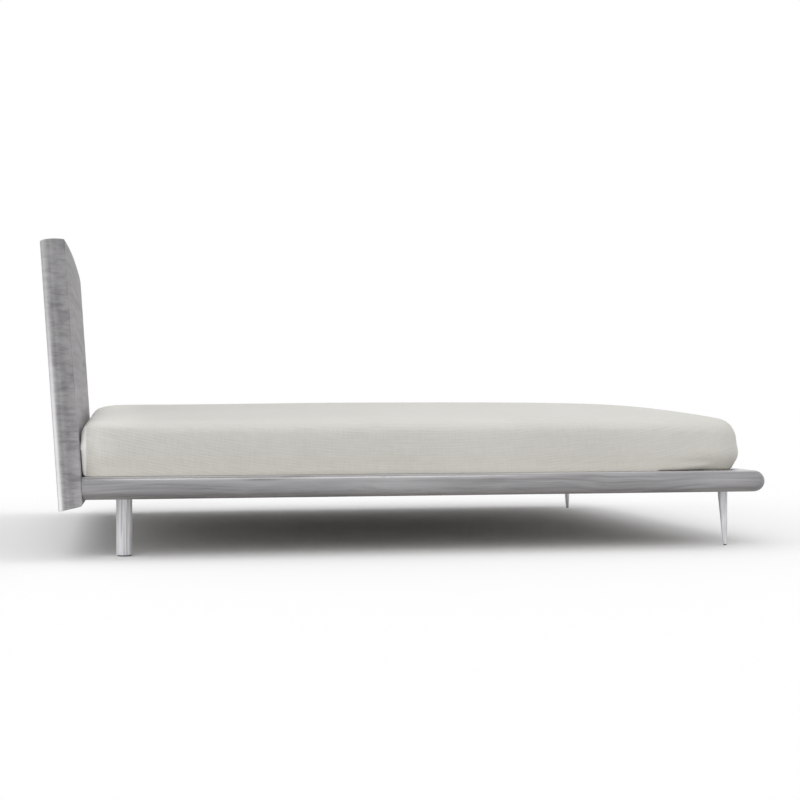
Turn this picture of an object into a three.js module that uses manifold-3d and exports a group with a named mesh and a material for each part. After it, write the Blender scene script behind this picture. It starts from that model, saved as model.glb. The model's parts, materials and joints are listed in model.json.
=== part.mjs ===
// A low platform bed: a rounded timber frame on four legs, a leaning bowed headboard,
// a slatted deck with a steel centre beam, and a soft crowned mattress.
// Lengths are in millimetres. +X runs from head to foot, +Z is up and z = 0 is the floor.

import * as THREE from 'three';
import { mergeVertices } from 'three/addons/utils/BufferGeometryUtils.js';
import Module from 'manifold-3d';

const wasm = await Module();
wasm.setup();

// Mattress
const mattressLength = 2000;
const mattressWidth = 1800;
const mattressEdgeHeight = 152;
const mattressCrown = 53;
const mattressSideLean = 8;
const mattressHeadSwell = 9;
const crownEndPower = 3.5;
const crownEndRoot = 0.25;
const crownSidePower = 1.7;

// The mattress's cover: plan corners, rolled top edge, and base edge tucked in over a rise
const headCornerRadius = 50;
const headTopRounding = 28;
const headTuck = 16;
const headTuckRise = 40;
const sideTopRounding = 40;
const sideTuck = 4;
const sideTuckRise = 20;
const endCornerRadius = 90;
const endTopRounding = 56;
const endTuck = 30;
const endTuckRise = 55;
const headBlendShare = 0.15;
const endBlendShares = [0.8, 0.97];

// Platform frame
const mattressLedge = 50;
const platformTop = 234;
const railThickness = 64;
const railWidth = 70;
const footCornerRadius = 50;

// Headboard
const headboardHeight = 903;
const headboardThickness = 68;
const headboardLeanDegrees = 3.8;
const headboardBow = 11;
const headboardBowPower = 3;
const headboardBottom = 139;
const headboardBottomRise = 15;
const headboardCrownDrop = 6;
const headboardBackRadius = 22;
const headboardFrontRadius = 8;

// Deck: slats on ledgers, with a steel beam under their middle
const slatCount = 14;
const slatWidth = 90;
const slatThickness = 20;
const slatEndGap = 2;
const ledgerWidth = 30;
const ledgerHeight = 25;
const beamSize = 40;
const beamWall = 2.5;
const hangerSheet = 3;
const hangerReach = 45;
const hangerEar = 22;

// Corner blocks and leg plates
const blockSize = 100;
const blockBaseRecess = 5;
const plateSize = 70;
const plateThickness = 4;
const plateScrewInset = 10;
const plateScrewHole = 5;

// Legs
const headLegDiameter = 46;
const headLegFromHead = 118;
const headLegFromSide = 135;
const headLegEasing = 2;
const footLegTopDiameter = 30;
const footLegTipDiameter = 12.5;
const footLegFromFoot = 107;
const footLegFromSide = 113;
const footLegSplay = 6;
const glideHeight = 3;
const glideMargin = 1.5;

// Fasteners
const studDiameter = 8;
const studLegDepth = 35;
const studBlockDepth = 25;
const boltDiameter = 8;
const boltHeadDiameter = 14;
const boltHeadHeight = 6;
const boltSocket = 6;
const boltSocketDepth = 3.5;
const headboardBoltReach = 22;
const headboardBoltShares = [-0.74, -0.26, 0.26, 0.74];
const insertDiameter = 12;
const insertLength = 25;
const cornerBoltReach = 30;
const cornerBoltFromBlockEdge = 20;

// Clearances: how far touching pieces stand apart, and how far cutters overrun
const seatGap = 0.3;
const overrun = 20;

// Places worked out from the sizes above
const platformLength = mattressLength + mattressLedge;
const platformWidth = mattressWidth + 2 * mattressLedge;
const halfWidth = platformWidth / 2;
const platformBase = platformTop - railThickness;
const railMiddle = (platformTop + platformBase) / 2;
const innerHalfWidth = halfWidth - railWidth;
const footRailInner = platformLength - railWidth;
const leanSlope = Math.tan(THREE.MathUtils.degToRad(headboardLeanDegrees));
const slatBase = platformTop - slatThickness;
const supportTop = slatBase - seatGap;
const blockBase = platformBase + blockBaseRecess;
const plateBase = blockBase - seatGap - plateThickness;
const legTop = plateBase - seatGap;
const legBase = glideHeight + seatGap;
const beamBase = supportTop - beamSize;
const boltHole = boltDiameter + 2 * seatGap;
const studHole = studDiameter + 2 * seatGap;
const headboardBoltPlaces = headboardBoltShares.map((share) => share * halfWidth);

const finishes = {
  timber: { color: 0x949294, roughness: 0.6, metalness: 0 },
  leg: { color: 0xbcbac0, roughness: 0.55, metalness: 0 },
  slat: { color: 0xc8b48c, roughness: 0.7, metalness: 0 },
  steel: { color: 0x8b8e92, roughness: 0.4, metalness: 0.9 },
  glide: { color: 0x4a4a4a, roughness: 0.9, metalness: 0 },
  cloth: { color: 0xc9c8c1, roughness: 0.95, metalness: 0 },
};

const bed = new THREE.Group();

// Adds one named piece to the bed in its finish
function addPiece(name, geometry, finish) {
  const mesh = new THREE.Mesh(geometry, new THREE.MeshStandardMaterial(finishes[finish]));
  mesh.name = name;
  bed.add(mesh);
  return mesh;
}

// A solid for joining and cutting, from a closed geometry
function solidOf(geometry) {
  const bare = geometry.clone();
  bare.deleteAttribute('normal');
  bare.deleteAttribute('uv');
  const merged = mergeVertices(bare);
  return new wasm.Manifold(new wasm.Mesh({
    numProp: 3,
    vertProperties: Float32Array.from(merged.attributes.position.array),
    triVerts: Uint32Array.from(merged.index.array),
  }));
}

function geometryOf(solid) {
  const mesh = solid.getMesh();
  const geometry = new THREE.BufferGeometry();
  geometry.setAttribute('position', new THREE.BufferAttribute(mesh.vertProperties, mesh.numProp));
  geometry.setIndex(new THREE.BufferAttribute(mesh.triVerts, 1));
  geometry.computeVertexNormals();
  return geometry;
}

function cut(solid, cutters) {
  return cutters.reduce((left, cutter) => left.subtract(cutter), solid);
}

// A box given by its low and high sides along each axis
function boxBetween(x0, x1, y0, y1, z0, z1) {
  const box = new THREE.BoxGeometry(x1 - x0, y1 - y0, z1 - z0);
  return box.translate((x0 + x1) / 2, (y0 + y1) / 2, (z0 + z1) / 2);
}

// A rod from one point to another with a round or many-sided section
function rodBetween(from, to, diameter, sides = 24) {
  const along = new THREE.Vector3().subVectors(to, from);
  const rod = new THREE.CylinderGeometry(diameter / 2, diameter / 2, along.length(), sides);
  const up = new THREE.Vector3(0, 1, 0);
  rod.applyQuaternion(new THREE.Quaternion().setFromUnitVectors(up, along.clone().normalize()));
  const middle = new THREE.Vector3().addVectors(from, to).multiplyScalar(1 / 2);
  return rod.translate(middle.x, middle.y, middle.z);
}

function point(x, y, z) {
  return new THREE.Vector3(x, y, z);
}

// A plan outline raised between two heights
function prism(outline, z0, z1) {
  const settings = { depth: z1 - z0, bevelEnabled: false };
  return new THREE.ExtrudeGeometry(new THREE.Shape(outline), settings).translate(0, 0, z0);
}

// Points of an elliptical arc in plan, both ends included
function arcPoints(cx, cy, radiusX, radiusY, startDegrees, endDegrees, steps) {
  return Array.from({ length: steps + 1 }, (_, k) => {
    const turn = THREE.MathUtils.degToRad(THREE.MathUtils.lerp(startDegrees, endDegrees, k / steps));
    return new THREE.Vector2(cx + radiusX * Math.cos(turn), cy + radiusY * Math.sin(turn));
  });
}

// Closes a stack of level rings, each with as many points, into one body.
// The rings run anticlockwise seen from above, from the lowest ring to the highest.
function loftRings(rings) {
  const count = rings[0].length;
  const positions = rings.flat().flatMap((p) => [p.x, p.y, p.z]);
  const indices = [];
  for (let ring = 0; ring + 1 < rings.length; ring += 1) {
    for (let k = 0; k < count; k += 1) {
      const a = ring * count + k;
      const b = ring * count + ((k + 1) % count);
      indices.push(a, b, b + count, a, b + count, a + count);
    }
  }
  const flat = (ring) => ring.map((p) => new THREE.Vector2(p.x, p.y));
  const capOf = (ring) => THREE.ShapeUtils.triangulateShape(flat(ring), []);
  const last = (rings.length - 1) * count;
  capOf(rings[0]).forEach(([a, b, c]) => indices.push(a, c, b));
  capOf(rings[rings.length - 1]).forEach(([a, b, c]) => indices.push(last + a, last + b, last + c));
  const geometry = new THREE.BufferGeometry();
  geometry.setAttribute('position', new THREE.Float32BufferAttribute(positions, 3));
  geometry.setIndex(indices);
  geometry.computeVertexNormals();
  return geometry;
}

// How far the headboard's front stands towards the foot at a place across it and a height
function headboardFront(y, z) {
  const across = Math.min(1, Math.abs(y) / halfWidth);
  return headboardBow * (1 - across ** headboardBowPower) - (z - railMiddle) * leanSlope;
}

// The bowed front line of the headboard in plan, from one end to the other
function bowLine(end) {
  const steps = 24;
  return Array.from({ length: steps + 1 }, (_, k) => {
    const share = (2 * k) / steps - 1;
    const reach = headboardBow * (1 - Math.abs(share) ** headboardBowPower);
    return new THREE.Vector2(reach, share * end);
  });
}

function headboardPlan() {
  const frontEnd = halfWidth - headboardFrontRadius;
  const front = bowLine(frontEnd);
  const backX = headboardBackRadius - headboardThickness;
  const backY = halfWidth - headboardBackRadius;
  return [
    ...front,
    ...arcPoints(-headboardFrontRadius, frontEnd, headboardFrontRadius, headboardFrontRadius, 30, 90, 2),
    ...arcPoints(backX, backY, headboardBackRadius, headboardBackRadius, 90, 180, 6),
    ...arcPoints(backX, -backY, headboardBackRadius, headboardBackRadius, 180, 270, 6),
    ...arcPoints(-headboardFrontRadius, -frontEnd, headboardFrontRadius, headboardFrontRadius, 270, 330, 2),
  ];
}

// A plan outline raised to full height and pushed over so that it leans back
function leaningPrism(outline) {
  const upright = prism(outline, 0, headboardHeight + overrun);
  const lean = new THREE.Matrix4().set(
    1, 0, -leanSlope, leanSlope * railMiddle,
    0, 1, 0, 0,
    0, 0, 1, 0,
    0, 0, 0, 1,
  );
  return solidOf(upright.applyMatrix4(lean));
}

// The band of height that the headboard keeps: a sloping underside and a gently crowned top
function headboardBand() {
  const steps = 10;
  const peakShare = 0.65;
  const reach = headboardThickness + headboardBow + overrun;
  const topBack = -(headboardHeight - railMiddle) * leanSlope - headboardThickness;
  const bottomBack = (railMiddle - headboardBottom) * leanSlope - headboardThickness;
  const rise = headboardBottomRise / headboardThickness;
  const top = Array.from({ length: steps + 1 }, (_, k) => {
    const depth = (1 - k / steps) * (reach + overrun) - overrun;
    const offPeak = depth / (peakShare * headboardThickness) - 1;
    return new THREE.Vector2(topBack + depth, headboardHeight - headboardCrownDrop * offPeak ** 2);
  });
  const outline = [
    new THREE.Vector2(topBack - overrun, headboardBottom + rise * (topBack - overrun - bottomBack)),
    new THREE.Vector2(bottomBack + reach, headboardBottom + rise * reach),
    ...top,
  ];
  const settings = { depth: platformWidth + 2 * overrun, bevelEnabled: false };
  const band = new THREE.ExtrudeGeometry(new THREE.Shape(outline), settings);
  return solidOf(band.rotateX(Math.PI / 2).translate(0, halfWidth + overrun, 0));
}

// What the rails' head ends are cut back by: the bowed, leaning front carried past both sides
function headboardKeepOut() {
  const far = halfWidth + overrun;
  const back = -headboardThickness;
  const outline = [
    ...bowLine(halfWidth),
    new THREE.Vector2(0, far),
    new THREE.Vector2(back, far),
    new THREE.Vector2(back, -far),
    new THREE.Vector2(0, -far),
  ];
  return leaningPrism(outline).translate([seatGap, 0, 0]);
}

function insertFront(y) {
  return headboardFront(y, railMiddle) - seatGap;
}

function addHeadboard() {
  const holes = headboardBoltPlaces.map((y) => solidOf(rodBetween(
    point(insertFront(y) - insertLength - seatGap, y, railMiddle),
    point(insertFront(y) + overrun, y, railMiddle),
    insertDiameter + 2 * seatGap,
  )));
  const body = leaningPrism(headboardPlan()).intersect(headboardBand());
  addPiece('headboard_panel', geometryOf(cut(body, holes)), 'timber');
}

// The platform's whole outline with its half-round edge, before it is parted into rails
function platformBody() {
  const edgeSteps = 12;
  const cornerSteps = 6;
  const headEnd = -headboardBow - overrun;
  const radius = railThickness / 2;
  const rings = Array.from({ length: edgeSteps + 1 }, (_, k) => {
    const turn = Math.PI * (k / edgeSteps - 1 / 2);
    const inset = radius * (1 - Math.cos(turn));
    const corner = footCornerRadius - inset;
    const cx = platformLength - footCornerRadius;
    const cy = halfWidth - footCornerRadius;
    const outline = [
      new THREE.Vector2(headEnd, inset - halfWidth),
      ...arcPoints(cx, -cy, corner, corner, -90, 0, cornerSteps),
      ...arcPoints(cx, cy, corner, corner, 0, 90, cornerSteps),
      new THREE.Vector2(headEnd, halfWidth - inset),
    ];
    return outline.map((p) => point(p.x, p.y, railMiddle + radius * Math.sin(turn)));
  });
  return solidOf(loftRings(rings));
}

function railRegion(corners) {
  const outline = corners.map(([x, y]) => new THREE.Vector2(x, y));
  return solidOf(prism(outline, platformBase - overrun, platformTop + overrun));
}

function headBoltHoles() {
  return headboardBoltPlaces.map((y) => solidOf(rodBetween(
    point(-headboardBow - overrun, y, railMiddle),
    point(railWidth + overrun, y, railMiddle),
    boltHole,
  )));
}

// Where the corner bolts lie along the bed, the one near the head first
const cornerBoltPlaces = [
  railWidth + seatGap + blockSize - cornerBoltFromBlockEdge,
  footRailInner - seatGap - blockSize + cornerBoltFromBlockEdge,
];

function cornerBoltHoles(side) {
  return cornerBoltPlaces.map((x) => solidOf(rodBetween(
    point(x, side * (innerHalfWidth + cornerBoltReach + seatGap), railMiddle),
    point(x, side * (innerHalfWidth - blockSize - overrun), railMiddle),
    boltHole,
  )));
}

function addRails() {
  const body = platformBody();
  const far = halfWidth + overrun;
  const footEnd = platformLength + overrun;
  const headEnd = -headboardBow - 2 * overrun;
  const mitreGap = seatGap * Math.SQRT1_2;
  for (const [name, side] of [['side_rail_right', -1], ['side_rail_left', 1]]) {
    const corners = [
      [headEnd, side * innerHalfWidth],
      [headEnd, side * far],
      [footEnd - mitreGap, side * far],
      [footRailInner - mitreGap, side * innerHalfWidth],
    ];
    const ordered = side < 0 ? corners : corners.reverse();
    const cutters = [headboardKeepOut(), ...cornerBoltHoles(side)];
    addPiece(name, geometryOf(cut(body.intersect(railRegion(ordered)), cutters)), 'timber');
  }
  const footRegion = railRegion([
    [footRailInner, mitreGap - innerHalfWidth],
    [footEnd, mitreGap - far],
    [footEnd, far - mitreGap],
    [footRailInner, innerHalfWidth - mitreGap],
  ]);
  addPiece('foot_rail', geometryOf(body.intersect(footRegion)), 'timber');
  const headSide = innerHalfWidth - seatGap;
  const headRegion = railRegion([
    [headEnd, -headSide],
    [railWidth, -headSide],
    [railWidth, headSide],
    [headEnd, headSide],
  ]);
  const headCutters = [headboardKeepOut(), ...headBoltHoles()];
  addPiece('head_rail', geometryOf(cut(body.intersect(headRegion), headCutters)), 'timber');
}

// The four corners: the leg's place there, and the block that fills the frame's inside corner
function cornerOf(end, sideName) {
  const side = sideName === 'left' ? 1 : -1;
  const atHead = end === 'head';
  const fromSide = atHead ? headLegFromSide : footLegFromSide;
  return {
    name: `${end}_${sideName}`,
    side,
    atHead,
    legX: atHead ? headLegFromHead : platformLength - footLegFromFoot,
    legY: side * (halfWidth - fromSide),
    blockX: atHead ? railWidth + seatGap : footRailInner - seatGap - blockSize,
    boltX: cornerBoltPlaces[atHead ? 0 : 1],
  };
}

const corners = ['head', 'foot'].flatMap((end) => ['left', 'right'].map((side) => cornerOf(end, side)));

function addCornerBlock(corner) {
  const outer = corner.side * (innerHalfWidth - seatGap);
  const inner = outer - corner.side * blockSize;
  const block = boxBetween(
    corner.blockX, corner.blockX + blockSize,
    Math.min(inner, outer), Math.max(inner, outer),
    blockBase, supportTop,
  );
  const studBore = solidOf(rodBetween(
    point(corner.legX, corner.legY, blockBase - overrun),
    point(corner.legX, corner.legY, blockBase + studBlockDepth + seatGap),
    studHole,
  ));
  const holes = [studBore, ...cornerBoltHoles(corner.side)];
  addPiece(`corner_block_${corner.name}`, geometryOf(cut(solidOf(block), holes)), 'slat');
}

function addLegPlate(corner) {
  const half = plateSize / 2;
  const plate = boxBetween(-half, half, -half, half, plateBase, plateBase + plateThickness);
  const holeAt = (x, y, diameter) => solidOf(rodBetween(
    point(x, y, plateBase - overrun),
    point(x, y, plateBase + overrun),
    diameter,
    16,
  ));
  const screwPlace = half - plateScrewInset;
  const screwHoles = [-1, 1].flatMap((i) => [-1, 1].map(
    (j) => holeAt(i * screwPlace, j * screwPlace, plateScrewHole),
  ));
  const drilled = cut(solidOf(plate), [holeAt(0, 0, studHole), ...screwHoles]);
  const mesh = addPiece(`leg_plate_${corner.name}`, geometryOf(drilled), 'steel');
  mesh.position.set(corner.legX, corner.legY, 0);
}

// The round head leg, eased at its lower edge
function headLegGeometry() {
  const radius = headLegDiameter / 2;
  const easing = [0, 30, 60, 90].map((degrees) => {
    const turn = THREE.MathUtils.degToRad(degrees);
    return new THREE.Vector2(
      radius - headLegEasing * (1 - Math.sin(turn)),
      legBase + headLegEasing * (1 - Math.cos(turn)),
    );
  });
  const profile = [
    new THREE.Vector2(0, legBase),
    ...easing,
    new THREE.Vector2(radius, legTop),
    new THREE.Vector2(0, legTop),
  ];
  return new THREE.LatheGeometry(profile, 40).rotateX(Math.PI / 2);
}

// The slim foot leg narrows to its tip and splays towards its corner, with level ends
function footLegGeometry(side) {
  const height = legTop - legBase;
  const leg = new THREE.CylinderGeometry(footLegTopDiameter / 2, footLegTipDiameter / 2, height, 32);
  leg.rotateX(Math.PI / 2).translate(0, 0, legBase + height / 2);
  const splay = footLegSplay / height;
  return leg.applyMatrix4(new THREE.Matrix4().set(
    1, 0, -splay, splay * legTop,
    0, 1, -side * splay, side * splay * legTop,
    0, 0, 1, 0,
    0, 0, 0, 1,
  ));
}

function addLeg(corner) {
  const shape = corner.atHead ? headLegGeometry() : footLegGeometry(corner.side);
  const bore = solidOf(rodBetween(
    point(0, 0, legTop - studLegDepth - seatGap),
    point(0, 0, legTop + overrun),
    studHole,
  ));
  const mesh = addPiece(`leg_${corner.name}`, geometryOf(cut(solidOf(shape), [bore])), 'leg');
  mesh.position.set(corner.legX, corner.legY, 0);
}

function addLegStud(corner) {
  const stud = rodBetween(
    point(0, 0, legTop - studLegDepth),
    point(0, 0, blockBase + studBlockDepth),
    studDiameter,
  );
  addPiece(`leg_stud_${corner.name}`, stud, 'steel').position.set(corner.legX, corner.legY, 0);
}

function addGlide(corner) {
  const tip = corner.atHead ? headLegDiameter - 2 * headLegEasing : footLegTipDiameter;
  const shift = corner.atHead ? 0 : footLegSplay;
  const glide = rodBetween(point(0, 0, 0), point(0, 0, glideHeight), tip - 2 * glideMargin, 32);
  const mesh = addPiece(`glide_${corner.name}`, glide, 'glide');
  mesh.position.set(corner.legX + shift, corner.legY + corner.side * shift, 0);
}

// A socket-headed bolt lying along one line, its head at the first point
function boltGeometry(seat, tip) {
  const along = new THREE.Vector3().subVectors(tip, seat).normalize();
  const crown = seat.clone().addScaledVector(along, -boltHeadHeight);
  const socketFloor = crown.clone().addScaledVector(along, boltSocketDepth);
  const socketMouth = crown.clone().addScaledVector(along, -overrun);
  const shankStart = seat.clone().addScaledVector(along, -boltHeadHeight / 4);
  const head = solidOf(rodBetween(crown, seat, boltHeadDiameter));
  const shank = solidOf(rodBetween(shankStart, tip, boltDiameter, 16));
  const socket = solidOf(rodBetween(socketMouth, socketFloor, boltSocket, 6));
  return geometryOf(head.add(shank).subtract(socket));
}

function addHeadboardFastening(y, number) {
  const front = insertFront(y);
  const sleeve = solidOf(rodBetween(
    point(front - insertLength, y, railMiddle),
    point(front, y, railMiddle),
    insertDiameter,
  ));
  const bore = solidOf(rodBetween(
    point(front - insertLength - overrun, y, railMiddle),
    point(front + overrun, y, railMiddle),
    boltHole,
  ));
  addPiece(`headboard_insert_${number}`, geometryOf(cut(sleeve, [bore])), 'steel');
  const seat = point(railWidth + seatGap, y, railMiddle);
  const tip = point(front - headboardBoltReach, y, railMiddle);
  addPiece(`headboard_bolt_${number}`, boltGeometry(seat, tip), 'steel');
}

function addCornerBolt(corner) {
  const seat = point(corner.boltX, corner.side * (innerHalfWidth - blockSize - 2 * seatGap), railMiddle);
  const tip = point(corner.boltX, corner.side * (innerHalfWidth + cornerBoltReach), railMiddle);
  addPiece(`corner_bolt_${corner.name}`, boltGeometry(seat, tip), 'steel');
}

function addLedger(name, side) {
  const outer = side * (innerHalfWidth - seatGap);
  const inner = outer - side * ledgerWidth;
  const start = railWidth + blockSize + 2 * seatGap;
  const end = footRailInner - blockSize - 2 * seatGap;
  const ledger = boxBetween(
    start, end,
    Math.min(inner, outer), Math.max(inner, outer),
    supportTop - ledgerHeight, supportTop,
  );
  addPiece(name, ledger, 'slat');
}

// A square steel tube, open at both ends
function addCentreBeam() {
  const half = beamSize / 2;
  const hollow = half - beamWall;
  const start = railWidth + hangerSheet + 2 * seatGap;
  const end = footRailInner - hangerSheet - 2 * seatGap;
  const tube = solidOf(boxBetween(start, end, -half, half, beamBase, supportTop));
  const bore = solidOf(boxBetween(
    start - overrun, end + overrun,
    -hollow, hollow,
    beamBase + beamWall, supportTop - beamWall,
  ));
  addPiece('centre_beam', geometryOf(cut(tube, [bore])), 'steel');
}

// A folded steel shoe that holds one end of the beam against its rail
function addBeamHanger(name, railFace, inward) {
  const inside = beamSize / 2 + seatGap;
  const outside = inside + hangerSheet;
  const base = beamBase - seatGap;
  const top = supportTop - hangerSheet;
  const near = Math.min(inward * hangerSheet, 0);
  const backPlate = boxBetween(
    near, near + hangerSheet,
    -outside - hangerEar, outside + hangerEar,
    base - hangerSheet, top,
  );
  const reach = inward * hangerReach;
  const shoe = boxBetween(
    Math.min(0, reach), Math.max(0, reach),
    -outside, outside,
    base - hangerSheet, top,
  );
  const mouth = boxBetween(
    Math.min(inward * hangerSheet, reach + inward * overrun),
    Math.max(inward * hangerSheet, reach + inward * overrun),
    -inside, inside,
    base, top + overrun,
  );
  const hanger = solidOf(backPlate).add(solidOf(shoe)).subtract(solidOf(mouth));
  addPiece(name, geometryOf(hanger), 'steel').position.x = railFace + inward * seatGap;
}

function addSlats() {
  const pitch = (footRailInner - railWidth) / slatCount;
  const half = innerHalfWidth - slatEndGap;
  for (let k = 0; k < slatCount; k += 1) {
    const middle = railWidth + pitch * (k + 1 / 2);
    const slat = boxBetween(
      middle - slatWidth / 2, middle + slatWidth / 2,
      -half, half,
      slatBase, platformTop,
    );
    addPiece(`slat_${String(k + 1).padStart(2, '0')}`, slat, 'slat');
  }
}

// One level outline of the mattress, drawn in from its widest outline by an inset.
// The long sides have more points near their ends, where the crown falls away.
function mattressOutline(inset, height) {
  const cornerSteps = 5;
  const longShares = [0.05, 0.13, 0.25, 0.5, 0.75, 0.87, 0.95];
  const endShares = [1 / 6, 1 / 3, 1 / 2, 2 / 3, 5 / 6];
  const headEnd = inset - mattressHeadSwell;
  const footEnd = mattressLength - inset;
  const side = mattressWidth / 2 - inset;
  const atHead = Math.max(headCornerRadius - inset, headCornerRadius / 4);
  const atFoot = Math.max(endCornerRadius - inset, endCornerRadius / 4);
  const cornersOut = [
    arcPoints(footEnd - atFoot, -side + atFoot, atFoot, atFoot, -90, 0, cornerSteps),
    arcPoints(footEnd - atFoot, side - atFoot, atFoot, atFoot, 0, 90, cornerSteps),
    arcPoints(headEnd + atHead, side - atHead, atHead, atHead, 90, 180, cornerSteps),
    arcPoints(headEnd + atHead, -side + atHead, atHead, atHead, 180, 270, cornerSteps),
  ];
  return cornersOut.flatMap((arc, k) => {
    const next = cornersOut[(k + 1) % cornersOut.length][0];
    const straight = (k % 2 ? longShares : endShares)
      .map((share) => new THREE.Vector2().lerpVectors(arc[arc.length - 1], next, share));
    return [...arc, ...straight].map((p) => point(p.x, p.y, height));
  });
}

// How high the crown stands over the edge at a place on the mattress
function crownRise(x, y) {
  const along = Math.min(1, Math.abs((2 * x) / mattressLength - 1));
  const across = Math.min(1, Math.abs((2 * y) / mattressWidth));
  const endFall = (1 - along ** crownEndPower) ** crownEndRoot;
  return mattressCrown * endFall * (1 - across ** crownSidePower);
}

// The cover's levels from its base to its middle: how far each is drawn in, how high it lies
// and the share of the crown that it takes. The base edge is tucked in, the sides lean in a
// little and roll over at the top, and a broad crown is highest along the middle.
function coverLevels(topRounding, tuck, tuckRise) {
  const tuckShares = [0, 0.1, 0.4, 1];
  const turnShares = [0, 1 / 4, 1 / 2, 3 / 4, 1];
  const crownShares = [0.03, 0.08, 0.16, 0.28, 0.44, 0.64, 0.84, 1];
  const rimInset = mattressSideLean + topRounding;
  const deepest = (Math.min(mattressLength, mattressWidth) - endCornerRadius) / 2;
  const tucked = tuckShares.map((share) => ({
    inset: tuck * (1 - share) ** 2,
    height: tuckRise * share,
    crowned: 0,
  }));
  const rolled = turnShares.map((share) => (share * Math.PI) / 2).map((turn) => ({
    inset: mattressSideLean + topRounding * (1 - Math.cos(turn)),
    height: mattressEdgeHeight - topRounding * (1 - Math.sin(turn)),
    crowned: Math.sin(turn) ** 2,
  }));
  const top = crownShares.map((share) => ({
    inset: THREE.MathUtils.lerp(rimInset, deepest, share),
    height: mattressEdgeHeight,
    crowned: 1,
  }));
  return [...tucked, ...rolled, ...top];
}

// One ring of the cover, which changes from its head's shape to its sides' and its foot's.
// Points near the head are kept off the headboard that they press against.
function mattressRing(head, side, foot) {
  const base = platformTop + seatGap;
  const [atHead, atSide, atFoot] = [head, side, foot]
    .map((level) => mattressOutline(level.inset, base + level.height));
  return atSide.map((p, k) => {
    const along = p.x / mattressLength;
    const place = atHead[k]
      .lerp(p, THREE.MathUtils.smoothstep(along, 0, headBlendShare))
      .lerp(atFoot[k], THREE.MathUtils.smoothstep(along, ...endBlendShares));
    const nearest = headboardFront(place.y, place.z) + 2 * seatGap;
    const rise = side.crowned * crownRise(place.x, place.y);
    return point(Math.max(place.x, nearest), place.y, place.z + rise);
  });
}

function addMattress() {
  const head = coverLevels(headTopRounding, headTuck, headTuckRise);
  const side = coverLevels(sideTopRounding, sideTuck, sideTuckRise);
  const foot = coverLevels(endTopRounding, endTuck, endTuckRise);
  const rings = side.map((level, k) => mattressRing(head[k], level, foot[k]));
  addPiece('mattress', loftRings(rings), 'cloth');
}

addHeadboard();
addRails();
corners.forEach((corner) => {
  addCornerBlock(corner);
  addCornerBolt(corner);
  addLegPlate(corner);
  addLegStud(corner);
  addLeg(corner);
  addGlide(corner);
});
headboardBoltPlaces.forEach((y, k) => addHeadboardFastening(y, k + 1));
addLedger('ledger_left', 1);
addLedger('ledger_right', -1);
addCentreBeam();
addBeamHanger('beam_hanger_head', railWidth, 1);
addBeamHanger('beam_hanger_foot', footRailInner, -1);
addSlats();
addMattress();

// The origin lies on the floor under the middle of the whole bed
const headReach = headboardThickness + (headboardHeight - headboardCrownDrop - railMiddle) * leanSlope;
bed.position.x = (headReach - platformLength) / 2;

const model = new THREE.Group();
model.add(bed);

export default model;
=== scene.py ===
# %% [markdown]
# # A low platform bed
#
# The bed is a grey timber frame on four legs, with a leaning headboard, a slatted deck and
# a soft white mattress. This lesson dresses the exact solids of the bed in smooth, eased
# timber, pale legs, zinc plated steel and woven cloth. Everything is in metres, with the
# head at the low end of X, the floor at z = 0 and the middle of the bed on the X axis.

# %% Load the frame
import math

import bmesh
import bpy
import numpy as np
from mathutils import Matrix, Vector
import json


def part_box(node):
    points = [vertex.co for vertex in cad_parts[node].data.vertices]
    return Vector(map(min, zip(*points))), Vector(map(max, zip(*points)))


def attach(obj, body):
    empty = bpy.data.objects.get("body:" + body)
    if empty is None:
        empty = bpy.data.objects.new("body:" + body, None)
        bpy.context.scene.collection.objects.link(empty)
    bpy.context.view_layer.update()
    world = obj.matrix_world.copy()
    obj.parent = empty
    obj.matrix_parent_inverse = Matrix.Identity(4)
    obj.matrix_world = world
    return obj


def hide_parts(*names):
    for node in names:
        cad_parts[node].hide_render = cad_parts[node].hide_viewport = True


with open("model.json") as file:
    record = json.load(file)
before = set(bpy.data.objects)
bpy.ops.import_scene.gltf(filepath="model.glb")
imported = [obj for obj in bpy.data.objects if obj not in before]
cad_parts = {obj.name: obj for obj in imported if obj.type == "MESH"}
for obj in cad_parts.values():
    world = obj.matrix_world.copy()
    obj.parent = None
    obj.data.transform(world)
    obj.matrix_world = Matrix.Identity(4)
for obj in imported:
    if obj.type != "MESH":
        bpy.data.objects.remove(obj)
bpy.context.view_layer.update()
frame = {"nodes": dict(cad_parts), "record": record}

nodes = frame["nodes"]

# %% [markdown]
# ## The sizes that everything follows
#
# A maker works from one list of sizes, and so does this script. They are the same sizes
# that the solids were made with, so a smooth piece falls where its solid is. The length
# `head_x` is where the headboard's front meets the middle of the rails' height.

# %% Sizes
platform_length = 2.05
platform_width = 1.9
half_width = platform_width / 2
rail_top, rail_base = 0.234, 0.17
rail_middle = (rail_top + rail_base) / 2
rail_depth = 0.07
corner_radius = 0.05
seat_gap = 0.0003
mitre_gap = seat_gap / math.sqrt(2)

head_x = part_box("foot_rail")[1].x - platform_length
lean = math.tan(math.radians(3.8))
board_height = 0.903
board_thickness = 0.068
board_bow = 0.011
print("head end of the deck at x =", round(head_x, 5))

# %% [markdown]
# ## The camera
#
# The bed is seen from its side with a long lens, a little below half a metre up, so the
# far side almost hides behind the near one. The camera stands 5.3 m off the middle of the
# bed, level with the mattress's top, and looks ten degrees towards the foot.

# %% Camera
view_turn = 0.1829
view_roll = 0.0012
camera = bpy.data.objects.new("camera", bpy.data.cameras.new("camera"))
camera.location = (-0.86929, -5.31506, 0.45075)
camera.rotation_euler = (math.pi / 2, view_roll, -view_turn)
camera.data.sensor_width = 36
camera.data.lens = 68.774
camera.data.clip_end = 200
bpy.context.scene.collection.objects.link(camera)
bpy.context.scene.camera = camera
print("lens:", camera.data.lens, "mm")

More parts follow.
